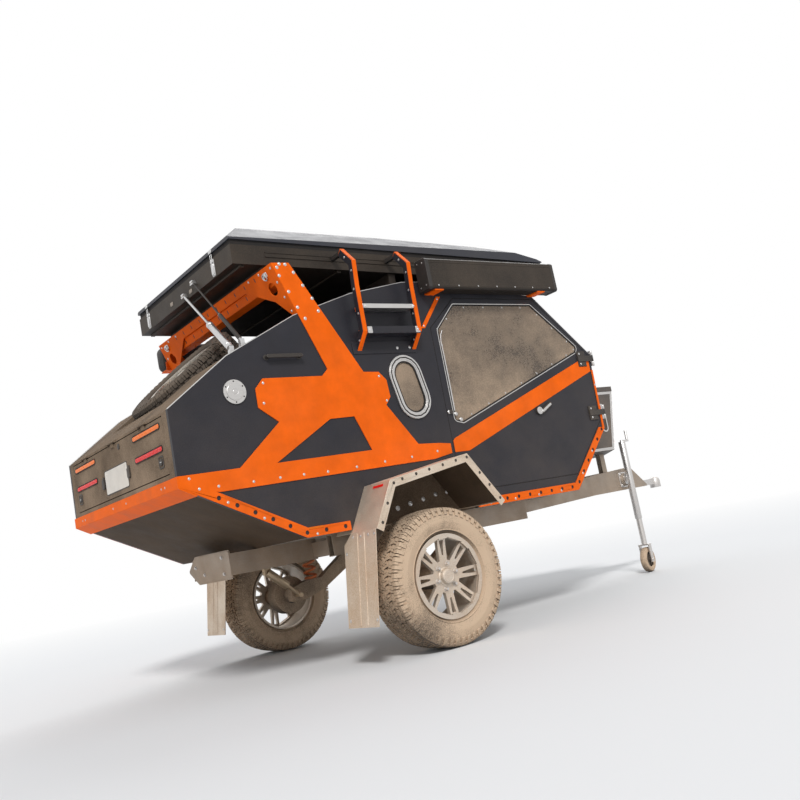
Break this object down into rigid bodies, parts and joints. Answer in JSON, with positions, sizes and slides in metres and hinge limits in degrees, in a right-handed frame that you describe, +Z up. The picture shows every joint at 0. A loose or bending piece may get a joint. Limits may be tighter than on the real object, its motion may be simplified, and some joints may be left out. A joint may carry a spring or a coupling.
{
  "type": "off-road teardrop camper trailer",
  "caption": "Off-road teardrop camper trailer with hinged doors, rear flap, roof tent lid, front box lid, turning wheels and a swing-up jockey wheel.",
  "frame": {"origin": "on the floor under the middle of the overall length, on the centre plane", "axes": "+X forward to the coupling, +Y to the left, +Z up"},
  "size_m": [4.796, 2.204, 2.614],
  "materials": {
    "body_grey": "satin dark grey paint on aluminium-skinned panels",
    "tail_grey": "satin paint with road dust",
    "orange_paint": "gloss orange powder coat",
    "tent_black": "textured black powder coat",
    "fender_alloy": "brushed plate, dusty",
    "chassis_zinc": "hot-dip galvanised",
    "box_alloy": "satin dark paint",
    "tyre_black": "all-terrain tread, dusty",
    "rim_alloy": "machined alloy",
    "tinted_glass": "dark tinted acrylic",
    "black_plastic": "moulded",
    "pale_trim": "satin",
    "lens_red": "clear red moulding",
    "plate_pale": "blank pressed plate",
    "bag_fabric": "heavy coated cloth",
    "bed_fabric": "woven cover",
    "board_ply": "film-faced plywood",
    "coil_bronze": "powder-coated spring steel",
    "damper_tube": "champagne anodised",
    "arm_black": "chassis black",
    "zinc_bright": "bright zinc plate",
    "rubber_black": "moulded rubber"
  },
  "bodies": {
    "chassis": {"side_right": "body_grey", "side_left": "body_grey", "tail_shell": "tail_grey", "roof_skin": "body_grey", "nose_panel": "body_grey", "floor_pan": "chassis_zinc", "rear_deck": "body_grey", "spare_well": "tent_black", "spare_tyre": "tyre_black", "spare_rim": "rim_alloy", "frame_right": "orange_paint", "frame_left": "orange_paint", "roll_beam": "orange_paint", "bumper": "orange_paint", "fender_right": "fender_alloy", "fender_left": "fender_alloy", "mudflaps": "fender_alloy", "porthole_frames": "pale_trim", "porthole_panes": "tinted_glass", "side_fittings": "pale_trim", "chassis_frame": "chassis_zinc", "coupling_head": "zinc_bright", "front_box": "box_alloy", "tent_tray": "tent_black", "tent_bedding": "bed_fabric", "tent_seal": "rubber_black", "roof_bars": "tent_black", "tent_stays": "zinc_bright", "awning_right": "tent_black", "awning_left": "bag_fabric", "awning_brackets": "orange_paint", "ladder": "orange_paint", "trailing_arms": "arm_black", "coil_springs": "coil_bronze", "dampers": "damper_tube", "cabin_boards": "board_ply", "mattress": "bed_fabric"},
    "wheel_right": {"tyre_right": "tyre_black", "rim_right": "rim_alloy", "hub_right": "arm_black"},
    "wheel_left": {"tyre_left": "tyre_black", "rim_left": "rim_alloy", "hub_left": "arm_black"},
    "door_right": {"door_right": "body_grey", "window_right": "tinted_glass", "door_stripe_right": "orange_paint", "door_fittings_right": "black_plastic"},
    "door_left": {"door_left": "body_grey", "window_left": "tinted_glass", "door_stripe_left": "orange_paint", "door_fittings_left": "black_plastic"},
    "tail_flap": {"tail_flap": "tail_grey", "tail_lamps": "lens_red", "plate_and_lamps": "plate_pale"},
    "tent_lid": {"tent_lid": "tent_black"},
    "box_lid": {"box_lid": "box_alloy"},
    "jockey_leg": {"jockey_leg": "zinc_bright"},
    "jockey_stem": {"jockey_stem": "zinc_bright"},
    "jockey_castor": {"jockey_fork": "zinc_bright"},
    "jockey_wheel": {"jockey_wheel": "rubber_black"}
  },
  "joints": [
    {"name": "wheel_right_spin", "type": "hinge", "parent": "chassis", "child": "wheel_right", "pos_m": [-0.994, -0.9695, 0.388], "axis": [0, 1, 0], "continuous": true},
    {"name": "wheel_left_spin", "type": "hinge", "parent": "chassis", "child": "wheel_left", "pos_m": [-0.994, 0.9695, 0.388], "axis": [0, 1, 0], "continuous": true},
    {"name": "door_right_hinge", "type": "hinge", "parent": "chassis", "child": "door_right", "pos_m": [0.858, -0.858, 1.4], "axis": [0, 0, 1], "range_deg": [0, 95]},
    {"name": "door_left_hinge", "type": "hinge", "parent": "chassis", "child": "door_left", "pos_m": [0.858, 0.858, 1.4], "axis": [0, 0, -1], "range_deg": [0, 95]},
    {"name": "tail_flap_hinge", "type": "hinge", "parent": "chassis", "child": "tail_flap", "pos_m": [-2.392, 0, 1.476], "axis": [0, 1, 0], "range_deg": [0, 100]},
    {"name": "tent_lid_hinge", "type": "hinge", "parent": "chassis", "child": "tent_lid", "pos_m": [0.7033, 0, 2.41412], "axis": [0, 1, 0], "range_deg": [0, 32]},
    {"name": "box_lid_hinge", "type": "hinge", "parent": "chassis", "child": "box_lid", "pos_m": [0.853, 0, 1.4818], "axis": [0, -1, 0], "range_deg": [0, 70]},
    {"name": "jockey_swing", "type": "hinge", "parent": "chassis", "child": "jockey_leg", "pos_m": [1.71914, -0.25367, 0.765], "axis": [-0.2515, 0.9678, 0], "range_deg": [0, 90]},
    {"name": "jockey_screw", "type": "slide", "parent": "jockey_leg", "child": "jockey_stem", "axis": [0, 0, 1], "range_m": [0, 0.2]},
    {"name": "jockey_castor_swivel", "type": "hinge", "parent": "jockey_stem", "child": "jockey_castor", "pos_m": [1.71914, -0.25367, 0.2], "axis": [0, 0, 1], "continuous": true},
    {"name": "jockey_wheel_spin", "type": "hinge", "parent": "jockey_castor", "child": "jockey_wheel", "pos_m": [1.71914, -0.25367, 0.1], "axis": [0.2515, -0.9678, 0], "continuous": true}
  ]
}
